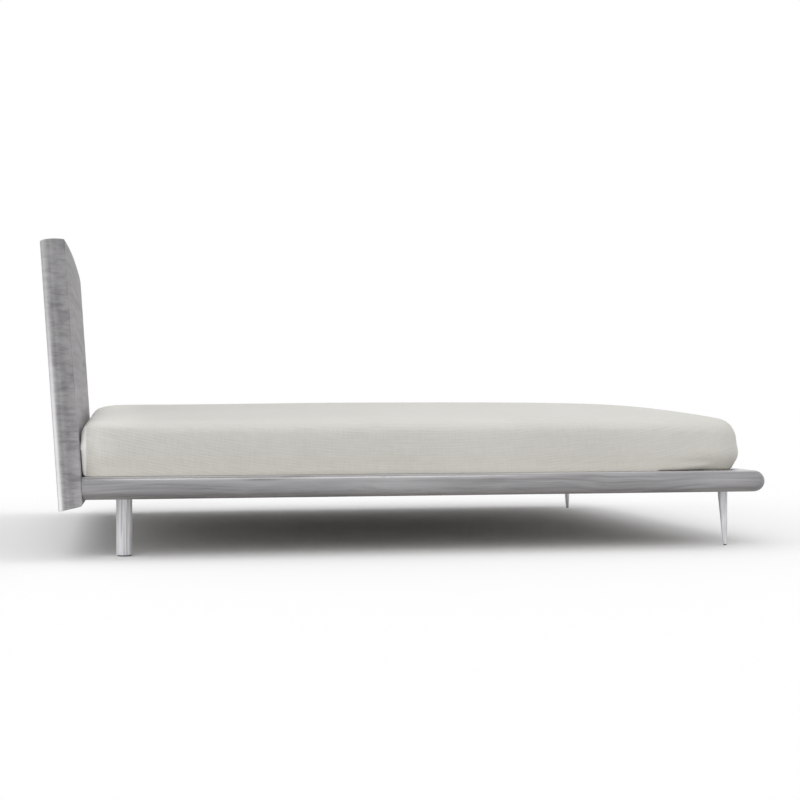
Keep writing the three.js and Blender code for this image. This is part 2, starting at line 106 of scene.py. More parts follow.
# %% [markdown]
# ## Writing materials as sums
#
# A material is a small program of nodes. `Wire` stands for one output of a node and knows
# how to add, subtract, multiply and divide, so a pattern can be written the way it is
# thought of. `Finish.node` makes any other node. Its settings come first, then the values
# or wires of its sockets.

# %% Wires and finishes
class Wire:
    """One output of a node, usable in sums."""

    def __init__(self, finish, socket):
        self.finish = finish
        self.socket = socket

    def sum_with(self, operation, first, second):
        return self.finish.node("ShaderNodeMath", {"operation": operation}, {0: first, 1: second})

    def __add__(self, other):
        return self.sum_with("ADD", self, other)

    def __sub__(self, other):
        return self.sum_with("SUBTRACT", self, other)

    def __rsub__(self, other):
        return self.sum_with("SUBTRACT", other, self)

    def __mul__(self, other):
        return self.sum_with("MULTIPLY", self, other)

    def __truediv__(self, other):
        return self.sum_with("DIVIDE", self, other)


class Finish:
    """A material and the nodes that make its look."""

    def __init__(self, name):
        self.material = bpy.data.materials.new(name)
        self.material.use_nodes = True
        self.tree = self.material.node_tree
        self.tree.nodes.clear()

    def node(self, kind, settings=None, sockets=None, give=0):
        made = self.tree.nodes.new(kind)
        for name, value in (settings or {}).items():
            if name == "stops":
                self.set_stops(made.color_ramp, value)
            else:
                setattr(made, name, value)
        for name, value in (sockets or {}).items():
            if isinstance(value, Wire):
                self.tree.links.new(value.socket, made.inputs[name])
            else:
                made.inputs[name].default_value = value
        return Wire(self, made.outputs[give]) if made.outputs else None

    def set_stops(self, ramp, stops):
        while len(ramp.elements) < len(stops):
            ramp.elements.new(1)
        for element, (place, colour) in zip(ramp.elements, stops):
            element.position = place
            element.color = (*colour, 1)

    def ray(self, give):
        return self.node("ShaderNodeLightPath", give=give)

    def place(self, give="Object"):
        return self.node("ShaderNodeTexCoord", give=give)

    def stretched(self, vector, factors):
        return self.node("ShaderNodeVectorMath", {"operation": "MULTIPLY"}, {0: vector, 1: factors})

    def moved(self, vector, shift):
        return self.node("ShaderNodeVectorMath", {"operation": "ADD"}, {0: vector, 1: shift})

    def part(self, vector, axis):
        return self.node("ShaderNodeSeparateXYZ", sockets={0: vector}, give=axis)

    def vector(self, x, y, z):
        return self.node("ShaderNodeCombineXYZ", sockets={0: x, 1: y, 2: z})

    def noise(self, vector, scale, detail=3.0, roughness=0.5, give="Fac"):
        sockets = {"Vector": vector, "Scale": scale, "Detail": detail, "Roughness": roughness}
        return self.node("ShaderNodeTexNoise", sockets=sockets, give=give)

    def ramp(self, value, stops):
        return self.node("ShaderNodeValToRGB", {"stops": stops}, {0: value})

    def reach(self, value, low, high):
        sockets = {"Value": value, "From Min": low, "From Max": high}
        return self.node("ShaderNodeMapRange", {"interpolation_type": "SMOOTHSTEP"}, sockets)

    def sine(self, value):
        return self.node("ShaderNodeMath", {"operation": "SINE"}, {0: value})

    def size(self, value):
        return self.node("ShaderNodeMath", {"operation": "ABSOLUTE"}, {0: value})

    def mixed(self, share, first, second):
        return self.node("ShaderNodeMix", {"data_type": "RGBA"}, {0: share, 6: first, 7: second}, 2)

    def shaded(self, colour, shade):
        settings = {"data_type": "RGBA", "blend_type": "MULTIPLY"}
        return self.node("ShaderNodeMix", settings, {0: 1.0, 6: colour, 7: shade}, 2)

    def tinted(self, colour, share, tint):
        """The colour as it is where the share is 0, and shaded by the tint where it is 1."""
        return self.shaded(colour, self.mixed(share, (1, 1, 1, 1), tint))

    def bump(self, height, depth, strength=1.0):
        sockets = {"Height": height, "Distance": depth, "Strength": strength}
        return self.node("ShaderNodeBump", sockets=sockets)

    def surface(self, sockets):
        shader = self.node("ShaderNodeBsdfPrincipled", sockets=sockets)
        return self.shown(shader)

    def shown(self, shader):
        self.node("ShaderNodeOutputMaterial", sockets={"Surface": shader})
        return self.material


# %% [markdown]
# ## Floor, world and lamps
#
# The room is a white studio. The world is white wherever it is looked at or mirrored, and
# softer where it only lights things. The floor is white too, and keeps the soft shadow
# under the bed. Three wide soft lamps stand far off, at the front, the left and the right.
# Narrow ones reach what the bed keeps dark: the legs and the mattress's corner at the
# headboard. A long lamp hangs over the head half of the bed and is only seen mirrored,
# which draws the bright line along the rail. The last lamp stands before the headboard and
# gives the mattress back the light that the headboard takes from it.

# %% World
daylight = 0.75


def studio_world():
    world = bpy.data.worlds.new("studio")
    world.use_nodes = True
    room = Finish("studio_room")
    room.tree = world.node_tree
    room.tree.nodes.clear()
    mirrored = room.ray("Is Glossy Ray") + room.ray("Is Transmission Ray")
    seen = room.ray("Is Camera Ray") + mirrored
    strength = seen * (1 - daylight) + daylight
    white = room.node("ShaderNodeBackground", sockets={"Color": (1, 1, 1, 1), "Strength": strength})
    room.node("ShaderNodeOutputWorld", sockets={"Surface": white})
    bpy.data.materials.remove(room.material)
    return world


bpy.context.scene.world = studio_world()
bpy.context.scene.view_settings.view_transform = "Standard"

# %% Lamps
def add_lamp(name, kind, settings, glossy, diffuse=True):
    data = bpy.data.lights.new(name, kind)
    for key, value in settings.items():
        setattr(data, key, value)
    lamp = bpy.data.objects.new(name, data)
    lamp.visible_camera = False
    lamp.visible_glossy = glossy
    lamp.visible_diffuse = diffuse
    bpy.context.scene.collection.objects.link(lamp)
    return lamp


def wide_lamp(name, turn, height, spread, level):
    """A far, soft lamp. turn runs from the camera's side towards the foot, in degrees."""
    settings = {"energy": level * math.pi, "angle": math.radians(spread)}
    lamp = add_lamp(name, "SUN", settings, glossy=False)
    lamp.rotation_euler = (math.radians(90 - height), 0, math.radians(turn))
    return level * math.sin(math.radians(height))


on_floor = daylight + sum([
    wide_lamp("front_lamp", -18, 40, 40, 0.25),
    wide_lamp("left_lamp", -80, 20, 30, 0.14),
    wide_lamp("right_lamp", 90, 50, 40, 0.10),
])


def small_lamp(name, place, goal, watts, spread=14):
    """A narrow lamp for one dark place. spread is the width of its cone, in degrees."""
    cone = {"spot_size": math.radians(spread), "spot_blend": 0.7}
    lamp = add_lamp(name, "SPOT", {"energy": watts, "shadow_soft_size": 0.05, **cone}, glossy=False)
    lamp.location = place
    lamp.rotation_euler = (Vector(goal) - Vector(place)).to_track_quat("-Z", "Y").to_euler()


small_lamp("head_leg_lamp", (-1.55, -1.95, 0.07), (-0.852, -0.815, 0.165), 16.0, 9)
small_lamp("foot_leg_lamp", (0.45, -1.95, 0.07), (0.98, -0.835, 0.14), 11.0)
small_lamp("far_leg_lamp", (0.62, -1.95, 0.06), (0.98, 0.835, 0.12), 70.0, 5)
small_lamp("corner_lamp", (-0.5, -2.6, 0.45), (-0.955, -0.9, 0.31), 18.0, 4.5)

long_lamp = add_lamp("long_lamp", "AREA", {
    "shape": "ELLIPSE", "size": 1.9, "size_y": 0.8, "energy": 26.0,
}, glossy=True, diffuse=False)
long_lamp.location = (-0.12, -0.55, 2.2)
board_lamp = add_lamp("board_lamp", "AREA", {
    "shape": "RECTANGLE", "size": 0.1, "size_y": 2.5, "energy": 0.5,
}, glossy=False)
board_lamp.location = (-0.9, 0, 0.52)
board_lamp.rotation_euler = Vector((0.3, 0, -0.95)).to_track_quat("-Z", "X").to_euler()
print("light on the floor:", round(on_floor, 3))

# %% Floor
floor_reach = 60.0


def floor_finish():
    finish = Finish("studio_floor")
    plain = finish.node("ShaderNodeBsdfDiffuse", sockets={"Color": (0.6, 0.6, 0.6, 1)})
    white = 1 / on_floor
    bright = finish.node("ShaderNodeBsdfDiffuse", sockets={"Color": (white, white, white, 1)})
    seen = finish.ray("Is Camera Ray")
    return finish.shown(finish.node("ShaderNodeMixShader", sockets={0: seen, 1: plain, 2: bright}))


def flat_floor():
    corners = [(-1, -1), (1, -1), (1, 1), (-1, 1)]
    mesh = bpy.data.meshes.new("floor")
    mesh.from_pydata([(x * floor_reach, y * floor_reach, 0) for x, y in corners], [], [(0, 1, 2, 3)])
    floor = bpy.data.objects.new("floor", mesh)
    floor.data.materials.append(floor_finish())
    bpy.context.scene.collection.objects.link(floor)
    return floor


flat_floor()

# %% [markdown]
# ## Meshes from loops
#
# Most of the timber is a section carried along a line: a half-round rail, a round leg, a
# leaning board. `skin` joins a row of loops that have as many points each, closes both
# ends, and sets the edges that stay crisp. `eased_loop` draws a section from its corners
# and rounds each corner by its own radius, since no real edge is perfectly sharp.

# %% Helpers for meshes
def add_object(name, mesh):
    piece = bpy.data.objects.new(name, mesh)
    bpy.context.scene.collection.objects.link(piece)
    return piece


def skin(name, loops, crisp_degrees=40):
    count = len(loops[0])
    points = [tuple(point) for loop in loops for point in loop]
    faces = [tuple(reversed(range(count))), tuple(range(len(points) - count, len(points)))]
    for row in range(len(loops) - 1):
        for k in range(count):
            a = row * count + k
            b = row * count + (k + 1) % count
            faces.append((a, b, b + count, a + count))
    mesh = bpy.data.meshes.new(name)
    mesh.from_pydata(points, [], faces)
    tidy(mesh)
    mesh.shade_smooth()
    mesh.set_sharp_from_angle(angle=math.radians(crisp_degrees))
    return add_object(name, mesh)


def tidy(mesh):
    shape = bmesh.new()
    shape.from_mesh(mesh)
    bmesh.ops.remove_doubles(shape, verts=shape.verts, dist=1e-6)
    bmesh.ops.dissolve_degenerate(shape, edges=shape.edges, dist=1e-6)
    bmesh.ops.recalc_face_normals(shape, faces=shape.faces)
    shape.to_mesh(mesh)
    shape.free()


def between(a, b, share):
    return a + (b - a) * share


def rounding(distance, radius):
    """How far a rounded edge stands back, at a distance from the face that it leads to."""
    if distance >= radius:
        return 0.0
    return radius - math.sqrt(radius ** 2 - (radius - distance) ** 2)


def eased_loop(corners, radii, edge_steps, corner_steps=5):
    """Points round a section, each corner eased by its radius and each side cut in steps."""
    loop = []
    total = len(corners)
    for k in range(total):
        before, corner, after = (Vector(corners[(k + i) % total]) for i in (-1, 0, 1))
        start = corner + (before - corner).normalized() * radii[k]
        end = corner + (after - corner).normalized() * radii[k]
        for step in range(corner_steps + 1):
            t = step / corner_steps
            loop.append((1 - t) ** 2 * start + 2 * t * (1 - t) * corner + t ** 2 * end)
        next_start = after + (corner - after).normalized() * radii[(k + 1) % total]
        loop += [end.lerp(next_start, s / edge_steps[k]) for s in range(1, edge_steps[k])]
    return loop


# %% [markdown]
# ## The headboard
#
# The headboard is one thick board that leans back and bows gently towards the sleeper. Its
# back corners are well rounded, its front ones only eased, the top is slightly crowned
# from front to back and the underside slopes. The board is skinned from upright sections
# that run from one side to the other, closer together where the sides turn over.

# %% Headboard
board_back_radius, board_front_radius, board_end_radius = 0.022, 0.004, 0.003
board_base, board_base_rise = 0.139, 0.015
board_crown, board_crown_place = 0.006, 0.65
board_corner_radii, board_cuts = (0.003, 0.01, 0.003, 0.003), (6, 30, 8, 30)


def board_bow_at(y):
    return board_bow * (1 - min(1, abs(y) / half_width) ** 3)


def board_front_x(y, z):
    """Where the headboard's front stands at a place across it and a height."""
    return head_x + board_bow_at(y) - (z - rail_middle) * lean


def board_section(y):
    edge = half_width - abs(y)
    back = rounding(edge, board_back_radius)
    front = board_thickness + board_bow_at(y) - rounding(edge, board_front_radius)
    end = rounding(edge, board_end_radius)

    def underside(depth):
        return board_base + board_base_rise * depth / board_thickness + end

    def crown(depth):
        from_highest = depth / (board_crown_place * board_thickness) - 1
        return board_height - board_crown * from_highest ** 2 - end

    corners = [
        (back, underside(back)),
        (front, underside(front)),
        (front, crown(front)),
        (back, crown(back)),
    ]
    loop = []
    for depth, z in eased_loop(corners, board_corner_radii, board_cuts):
        straight = between(crown(back), crown(front), (depth - back) / (front - back))
        height_share = (z - underside(depth)) / (straight - underside(depth))
        z += (crown(depth) - straight) * max(0, height_share)
        x = head_x - board_thickness + depth - (z - rail_middle) * lean
        loop.append((x, y, z))
    return loop


def board_places():
    """Where the sections stand across the board, closest at its two sides."""

    def turned(radius, steps):
        return [half_width - radius * (1 - math.cos(math.pi / 2 * k / steps)) for k in range(steps + 1)]

    right = sorted({round(v, 6) for v in turned(board_back_radius, 10) + turned(board_end_radius, 4)})
    inner = np.linspace(-right[0], right[0], 50)[1:-1]
    return [-v for v in reversed(right)] + list(inner) + right


headboard = skin("headboard", [board_section(y) for y in board_places()])
print("headboard:", len(headboard.data.polygons), "faces")

# %% [markdown]
# ## The rails
#
# A rail is rounded outside like a broom handle cut in half, flat on top and below, and
# square inside. The side rails and the foot rail meet in mitres, half way round each foot
# corner. Every point of the section keeps its own distance from the frame's outline, so a
# corner is only a matter of where that distance lands. The flats have a point at the
# corner's centre and one on either side of it, where the section stops turning. The last
# loop at each end is drawn a little smaller, which eases the arris and leaves the fine line
# of a real joint.

# %% Rail section
arris = 0.0007
inner_ease = 0.0015
straight_steps, turn_steps, round_steps = 40, 10, 28
mitre = math.pi / 4
before_centre, past_centre = 0.045, 0.06


def rail_section(smaller=0.0):
    """(distance in from the outline, height) of the points round a rail's section."""
    radius = rail_top - rail_middle - smaller
    loop = []
    for k in range(round_steps + 1):
        turn = math.pi * (k / round_steps - 0.5)
        loop.append((radius * (1 - math.cos(turn)) + smaller, rail_middle + radius * math.sin(turn)))
    inner, ease = rail_depth - smaller, inner_ease
    top, base = rail_top - smaller, rail_base + smaller
    flat = (before_centre, corner_radius, past_centre)
    loop += [(inset, top) for inset in flat] + [(inner - ease, top)]
    loop += [(inner - ease * 0.3, top - ease * 0.3), (inner, top - ease), (inner, rail_middle)]
    loop += [(inner, base + ease), (inner - ease * 0.3, base + ease * 0.3), (inner - ease, base)]
    loop += [(inset, base) for inset in reversed(flat)]
    return loop


def corner_point(inset, turn, side):
    """A place on the rounded foot corner, turned from along the side to along the foot."""
    left_over = max(0, corner_radius - inset)
    square = max(0, inset - corner_radius)
    x = head_x + platform_length - corner_radius - square + left_over * math.sin(turn)
    y = half_width - corner_radius - square + left_over * math.cos(turn)
    return x, side * y


# %% Side rails
def side_rail(name, side):
    full, small = rail_section(), rail_section(arris)
    loops = []
    for step in range(-1, straight_steps + 1):
        loop = []
        for inset, z in (small if step < 0 else full):
            y = side * (half_width - inset)
            start = board_front_x(y, z) + seat_gap + (arris if step == 0 else 0)
            end = corner_point(inset, 0, side)[0] - mitre_gap - arris
            loop.append((between(start, end, max(0, step) / straight_steps), y, z))
        loops.append(loop)
    for step in range(1, turn_steps + 1):
        turn = mitre * step / turn_steps - (arris / corner_radius if step == turn_steps else 0)
        loop = []
        for inset, z in full:
            x, y = corner_point(inset, turn, side)
            loop.append((x - mitre_gap - arris * (inset >= corner_radius), y, z))
        loops.append(loop)
    last = [(*corner_point(inset, mitre, side), z) for inset, z in small]
    loops.append([(x - mitre_gap, y, z) for x, y, z in last])
    return skin(name, loops)


# %% Foot rail and head rail
def foot_rail():
    full, small = rail_section(), rail_section(arris)
    half = []
    for step in range(turn_steps + 1):
        turn = mitre * (1 + step / turn_steps) + (arris / corner_radius if step == 0 else 0)
        loop = []
        for inset, z in full:
            x, y = corner_point(inset, turn, 1)
            loop.append((x, y - mitre_gap - arris * (inset >= corner_radius), z))
        half.append(loop)
    ends = [(*corner_point(inset, mitre, 1), z) for inset, z in small]
    half.insert(0, [(x, y - mitre_gap, z) for x, y, z in ends])
    mirrored = [[(x, -y, z) for x, y, z in loop] for loop in reversed(half)]
    middle = []
    for step in range(1, straight_steps):
        share = step / straight_steps
        middle.append([
            (a[0], between(a[1], b[1], share), a[2]) for a, b in zip(half[-1], mirrored[0])
        ])
    return skin("foot_rail_round", half + middle + mirrored)


def head_rail():
    reach = half_width - rail_depth - seat_gap
    loops = []
    for k in range(-1, straight_steps + 2):
        smaller = arris if k in (-1, straight_steps + 1) else 0.0
        y = reach * (min(max(k, 0), straight_steps) / (straight_steps / 2) - 1)
        y -= math.copysign(arris, y) if k in (0, straight_steps) else 0
        base, top = rail_base + smaller, rail_top - smaller
        corners = [
            (board_front_x(y, base) + seat_gap + smaller, base),
            (head_x + rail_depth - smaller, base),
            (head_x + rail_depth - smaller, top),
            (board_front_x(y, top) + seat_gap + smaller, top),
        ]
        section = eased_loop(corners, (inner_ease,) * 4, (4, 4, 4, 4), 3)
        loops.append([(x, y, z) for x, z in section])
    return skin("head_rail_bar", loops)


rails = {
    "side_rail_right": side_rail("side_rail_right_round", -1),
    "side_rail_left": side_rail("side_rail_left_round", 1),
    "foot_rail": foot_rail(),
    "head_rail": head_rail(),
}
print("rails:", {name: len(rail.data.polygons) for name, rail in rails.items()})

# %% [markdown]
# ## The legs
#
# The two head legs are straight turned posts. The foot legs are slim spindles that narrow
# to a small tip and lean out a little to their corner. Both are stacks of circles, with
# the lower edge softened where a lathe tool would break it.

# %% Legs
leg_sides, leg_steps, ease_steps = 64, 24, 8
leg_top, leg_base = 0.1704, 0.0033
leg_shapes = {
    "head": {
        "from_head": 0.118, "from_side": 0.135, "top": 0.023, "tip": 0.023,
        "splay": 0.0, "ease": 0.002,
    },
    "foot": {
        "from_head": platform_length - 0.107, "from_side": 0.113, "top": 0.015, "tip": 0.00625,
        "splay": 0.006, "ease": 0.0008,
    },
}


def leg_loop(x, y, z, radius):
    turns = [2 * math.pi * k / leg_sides for k in range(leg_sides)]
    return [(x + radius * math.cos(t), y + radius * math.sin(t), z) for t in turns]


def leg(name, side, from_head, from_side, top, tip, splay, ease):
    """top and tip are the radii of the leg's two ends."""
    x = head_x + from_head
    y = side * (half_width - from_side)
    loops = []
    for k in range(ease_steps + 1):
        rise = ease * (1 - math.cos(math.pi / 2 * k / ease_steps))
        back = ease * (1 - math.sin(math.pi / 2 * k / ease_steps))
        loops.append(leg_loop(x + splay, y + side * splay, leg_base + rise, tip - back))
    for k in range(1, leg_steps + 1):
        z = between(leg_base + ease, leg_top, k / leg_steps)
        share = (z - leg_base) / (leg_top - leg_base)
        drift = splay * (1 - share)
        loops.append(leg_loop(x + drift, y + side * drift, z, between(tip, top, share)))
    return skin(name, loops)


legs = {
    f"leg_{end}_{name}": leg(f"leg_{end}_{name}_turned", side, **shape)
    for end, shape in leg_shapes.items()
    for name, side in (("left", 1), ("right", -1))
}
print("legs:", sorted(legs))

# %% [markdown]
# ## Grey timber
#
# The frame is stained a cool grey that lets the grain through, under a thin satin lacquer.
# Grain is a pattern with a direction: long and slow along the board, short and busy across
# it. One solid pattern is stretched along the grain, so a face shows long streaks.
#
# A rail is painted darker towards its crest, a painted shade against the light that falls on
# its top, and turns brown towards its heartwood below. Its ledge beside the mattress is painted
# pale, a painted highlight in the mattress's shade, and it carries feathered dark streaks. The
# headboard's two sides are end grain: upright stripes with soft level strokes. Their rounded
# back corners are painted pale, a painted highlight that is strongest low down, and the
# headboard's front is painted a little darker than its sides, a painted shade.

# %% Timber finish
grey = (0.298, 0.292, 0.298)
heart_heights = (rail_base + 0.006, rail_base + 0.02)
feather_heights = (0.19, 0.215)
painted_crest_shade_heights = (0.2, 0.222)
painted_ledge_highlight_heights = (rail_top - 0.004, rail_top - 0.0005)
board_side_turn = (half_width - 0.026, half_width - 0.004)
painted_back_highlight_depths = (0.08, 0.25)


def grain_pattern(finish, place, across):
    """(rings, fibres, pattern) of a grain that runs where the number of across is smallest."""
    drift = finish.stretched(finish.noise(place, 2.6, 2, give="Color"), (0.045, 0.045, 0.045))
    bent = finish.stretched(finish.moved(place, drift), across)
    rings = finish.noise(bent, 1.0, 4, 0.55)
    fibres = finish.noise(bent, 5.0, 5, 0.65)
    clouds = finish.noise(finish.stretched(place, tuple(v ** 0.5 for v in across)), 2.2, 3)
    return rings, fibres, rings * 0.6 + fibres * 0.25 + clouds * 0.25 - 0.05


def timber_surface(finish, colour, rings, fibres, lacquer):
    return finish.surface({
        "Base Color": colour,
        "Roughness": fibres * 0.16 + 0.46,
        "Normal": finish.bump(rings * 0.5 + fibres * 0.5, 0.0005, 0.5),
        "Specular IOR Level": 0.2,
        "Coat Weight": lacquer,
        "Coat Roughness": 0.14,
    })


def timber_stops(tone, low, high):
    shades = [(0, 0.55), (0.4, 0.88), (0.55, 1.0), (1, 1.2)]
    return [(between(low, high, share), [v * tone * shade for v in grey]) for share, shade in shades]


def rail_timber(name, across, tone):
    finish = Finish(name)
    place = finish.place()
    rings, fibres, pattern = grain_pattern(finish, place, across)
    colour = finish.ramp(pattern, timber_stops(tone, 0.34, 0.66))
    height = finish.part(place, "Z")
    heart = 1 - finish.reach(height + (rings - 0.5) * 0.03, *heart_heights)
    colour = finish.tinted(colour, heart, (0.95, 0.91, 0.87, 1))
    # Painted shade: the rail is painted darker towards its crest, against the light that falls on its
    # top.
    painted_crest_shade = finish.reach(height, *painted_crest_shade_heights)
    colour = finish.tinted(colour, painted_crest_shade, (0.86, 0.86, 0.865, 1))
    # Painted highlight: the ledge beside the mattress is painted pale, where the mattress shades it.
    painted_ledge_highlight = finish.reach(height, *painted_ledge_highlight_heights)
    colour = finish.tinted(colour, painted_ledge_highlight, (1.6, 1.6, 1.6, 1))
    slow = finish.noise(finish.stretched(place, tuple(v ** 0.25 for v in across)), 1.3, 2)
    slow_shade = finish.ramp(slow, [(0.38, (0.84, 0.84, 0.85)), (0.62, (1.08, 1.08, 1.08))])
    colour = finish.shaded(colour, slow_shade)
    feathers = finish.noise(finish.stretched(place, tuple(v ** 0.62 for v in across)), 1.4, 5, 0.7)
    feathers = finish.reach(feathers, 0.56, 0.64) * (1 - finish.reach(height, *feather_heights))
    colour = finish.tinted(colour, feathers, (0.74, 0.73, 0.73, 1))
    return timber_surface(finish, colour, rings, fibres, 0.6)


# (how far from the board's back to its front, shade) of the stripes on its sides. The first
# two stops, on the rounded back corner, are a painted highlight; the rest are grain.
side_stripes_and_back_highlight = [
    (0.0, 1.14), (0.24, 1.08), (0.32, 0.88), (0.42, 0.98),
    (0.52, 0.86), (0.62, 0.84), (0.74, 0.93), (1.0, 1.02),
]


def board_timber(name, across, tone):
    finish = Finish(name)
    place = finish.place()
    rings, fibres, pattern = grain_pattern(finish, place, across)
    colour = finish.ramp(pattern, timber_stops(tone, 0.28, 0.72))
    x, y, z = (finish.part(place, axis) for axis in "XYZ")
    back_x = head_x - board_thickness + rail_middle * lean
    depth = (x + z * lean - back_x) / board_thickness
    at_side = finish.reach(finish.size(y), *board_side_turn)
    # Painted highlight and grain: the stripes are pale on the rounded back corner, then follow the grain.
    stripes_and_back_highlight = finish.ramp(depth, [(stop, (shade,) * 3) for stop, shade in side_stripes_and_back_highlight])
    colour = finish.tinted(colour, at_side, stripes_and_back_highlight)
    strokes = finish.noise(finish.vector(depth * 1.5, y * 3, z * 115), 1.0, 3, 0.6)
    patches = finish.noise(finish.vector(depth * 1.1, y * 3, z * 17), 1.0, 2)
    dark = finish.reach(strokes * 0.4 + patches * 0.6, 0.46, 0.62) * at_side
    colour = finish.tinted(colour, dark, (0.76, 0.755, 0.765, 1))
    # Painted shade: the front face is painted darker than the sides.
    front = finish.reach(finish.part(finish.place("Normal"), "X"), 0.3, 0.8)
    colour = finish.tinted(colour, front * (1 - at_side * 0.7), (0.86, 0.85, 0.85, 1))
    # Painted highlight: the rounded back corner is painted pale, most of all low down.
    painted_back_highlight = 1 - finish.reach(depth, *painted_back_highlight_depths)
    lower = 1 - finish.reach(z, 0.3, board_height) * 0.8
    colour = finish.mixed(painted_back_highlight * lower * at_side * 0.95, colour, (0.9, 0.9, 0.91, 1))
    return timber_surface(finish, colour, rings, fibres, 0.0)


timber_board = board_timber("timber_headboard", (18, 1.1, 46), 1.22)
timber_side = rail_timber("timber_side_rails", (1.3, 42, 62), 1.16)
timber_foot = rail_timber("timber_foot_rail", (42, 1.3, 62), 1.16)

# %% Dress the timber
def dress(piece, material, body, slot_name, *replaced):
    piece.data.materials.clear()
    piece.data.materials.append(material)
    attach(piece, body)
    if replaced:
        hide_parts(*replaced)


dress(headboard, timber_board, "frame", "timber", "headboard_panel")
for node_name, rail in rails.items():
    across_bed = node_name in ("foot_rail", "head_rail")
    dress(rail, timber_foot if across_bed else timber_side, "frame", "timber", node_name)

# %% [markdown]
# ## Pale legs
#
# The legs are the same kind of timber stained almost white, with fine upright grain and
# the same satin lacquer.

# %% Leg finish
def leg_finish():
    finish = Finish("pale_leg_timber")
    place = finish.place()
    upright = finish.stretched(place, (210, 210, 5))
    grain = finish.noise(upright, 1.0, 3, 0.6)
    clouds = finish.noise(finish.stretched(place, (60, 60, 9)), 1.0, 2)
    colour = finish.ramp(grain * 0.65 + clouds * 0.35, [
        (0.36, (0.40, 0.395, 0.41)), (0.45, (0.60, 0.595, 0.62)), (0.53, (0.76, 0.755, 0.785)),
        (0.64, (0.87, 0.865, 0.89)),
    ])
    return finish.surface({
        "Base Color": colour,
        "Roughness": grain * 0.15 + 0.3,
        "Normal": finish.bump(grain, 0.0003, 0.4),
        "Coat Weight": 0.5,
        "Coat Roughness": 0.1,
    })


pale_timber = leg_finish()
for node_name, post in legs.items():
    dress(post, pale_timber, "frame", "leg_timber", node_name)

# %% [markdown]
# ## The deck and the fittings
#
# The slats, ledgers and corner blocks are planed softwood, left bare. Their solids are right
# as they are, so they get a finish, and the slats and ledgers an eased edge too. The steel
# pieces are zinc plated, which has a faint cloudy spangle, and the glides are dull moulded plastic.

# %% Softwood, steel and plastic
def softwood():
    finish = Finish("bare_softwood")
    place = finish.place()
    drift = finish.stretched(finish.noise(place, 3.0, 2, give="Color"), (0.03, 0.03, 0.03))
    along = finish.stretched(finish.moved(place, drift), (70, 1.6, 70))
    rings = finish.noise(along, 1.0, 4, 0.55)
    fibres = finish.noise(along, 6.0, 4, 0.6)
    board = finish.noise(finish.stretched(place, (7.3, 0.2, 1.0)), 1.0, 1)
    colour = finish.ramp(rings * 0.6 + fibres * 0.25 + board * 0.2, [
        (0.34, (0.43, 0.40, 0.36)), (0.50, (0.55, 0.53, 0.495)), (0.68, (0.64, 0.625, 0.595)),
    ])
    return finish.surface({
        "Base Color": colour,
        "Roughness": fibres * 0.2 + 0.55,
        "Normal": finish.bump(rings * 0.4 + fibres * 0.6, 0.0004, 0.5),
    })


def zinc_plate():
    finish = Finish("zinc_plated_steel")
    place = finish.place()
    spangle = finish.node("ShaderNodeTexVoronoi", sockets={"Vector": place, "Scale": 130.0}, give="Color")
    spangle = finish.part(spangle, "X")
    scuffs = finish.noise(place, 60.0, 5, 0.6)
    colour = finish.ramp(spangle * 0.5 + scuffs * 0.5, [
        (0.2, (0.42, 0.43, 0.44)), (0.8, (0.60, 0.61, 0.62)),
    ])
    return finish.surface({
        "Base Color": colour,
        "Metallic": 1.0,
        "Roughness": spangle * 0.12 + scuffs * 0.2 + 0.22,
        "Normal": finish.bump(scuffs, 0.0002, 0.3),
    })


def moulded_plastic():
    finish = Finish("dull_plastic")
    pores = finish.noise(finish.place(), 900.0, 3)
    return finish.surface({
        "Base Color": finish.ramp(pores, [(0.3, (0.05, 0.05, 0.052)), (0.7, (0.085, 0.085, 0.088))]),
        "Roughness": pores * 0.2 + 0.5,
        "Normal": finish.bump(pores, 0.0002, 0.4),
    })


deck_finishes = {
    "slat_timber": softwood(),
    "steel": zinc_plate(),
    "glide": moulded_plastic(),
}

# %% Dress the solids that stay
def ease_edges(piece, width, segments=2):
    bevel = piece.modifiers.new("eased_edges", "BEVEL")
    bevel.width = width
    bevel.segments = segments
    bevel.limit_method = "ANGLE"
    bevel.angle_limit = math.radians(60)
    bevel.harden_normals = True


slot_of = {row["node"]: row["material_slot"] for row in frame["record"]["subparts"]}
for node_name, piece in nodes.items():
    material = deck_finishes.get(slot_of[node_name])
    if material is None:
        continue
    piece.data.materials.clear()
    piece.data.materials.append(material)
    if node_name.startswith(("slat_", "ledger_")):
        ease_edges(piece, 0.002)
print("dressed solids:", sum(slot_of[name] in deck_finishes for name in nodes))

# %% [markdown]
# ## The mattress
#
# The mattress is foam in a stretched woven cover. Its base edge rolls under, its sides
# lean in a little, and the top swells to a broad crown that is highest along the middle.
# The shape is first drawn as level outlines. Then it is drawn in a little and filled with
# air by the Cloth solver, which pulls the cover tight between its corners as a real cover is.

# %% Mattress sizes
mattress_length, mattress_width = 2.0, 1.8
mattress_base = rail_top + seat_gap
edge_height = 0.152
crown_height = 0.053
head_rise = 0.021
head_corner, foot_corner = 0.016, 0.09
side_lean = 0.008
end_shapes = {
    "head": {"top": 0.024, "tuck": 0.016, "rise": 0.04},
    "side": {"top": 0.04, "tuck": 0.001, "rise": 0.01},
    "foot": {"top": 0.056, "tuck": 0.03, "rise": 0.055},
}
head_swell, foot_swell = 0.009, 0.0035
base_levels, side_levels, rim_levels, top_levels = 15, 8, 13, 60
low_head_blend, high_head_blend = 0.07, 0.3
foot_blend_start, foot_blend = 1.6, 0.34


def soft_share(value):
    value = min(1, max(0, value))
    return value * value * (3 - 2 * value)


